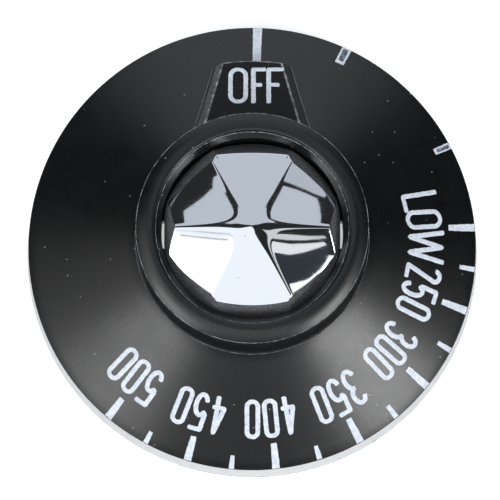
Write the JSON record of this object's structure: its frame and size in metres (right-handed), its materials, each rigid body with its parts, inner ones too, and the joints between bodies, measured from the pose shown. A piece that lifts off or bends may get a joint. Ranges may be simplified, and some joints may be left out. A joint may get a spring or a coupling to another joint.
{
  "type": "oven control knob",
  "caption": "Round black oven thermostat dial with a sloping numbered skirt, a finger collar, a fluted bright centre cap and a D-shaped shaft socket behind.",
  "frame": {"origin": "centre of the dial's back rim, on the plane that the rim rests on", "axes": "+Z along the knob's axis towards the user, +Y towards the OFF mark"},
  "size_m": [0.0636, 0.0634, 0.0253],
  "materials": {
    "black_thermoset": "moulded satin black",
    "bright_cap": "metallised mirror face with a black shoulder",
    "spring_steel": "rolled spring strip",
    "white_paint": "white paint wiped into the marks and rolled on the rim"
  },
  "bodies": {
    "root": {"dial_body": "black_thermoset", "centre_cap": "bright_cap", "shaft_spring": "spring_steel"}
  },
  "joints": []
}
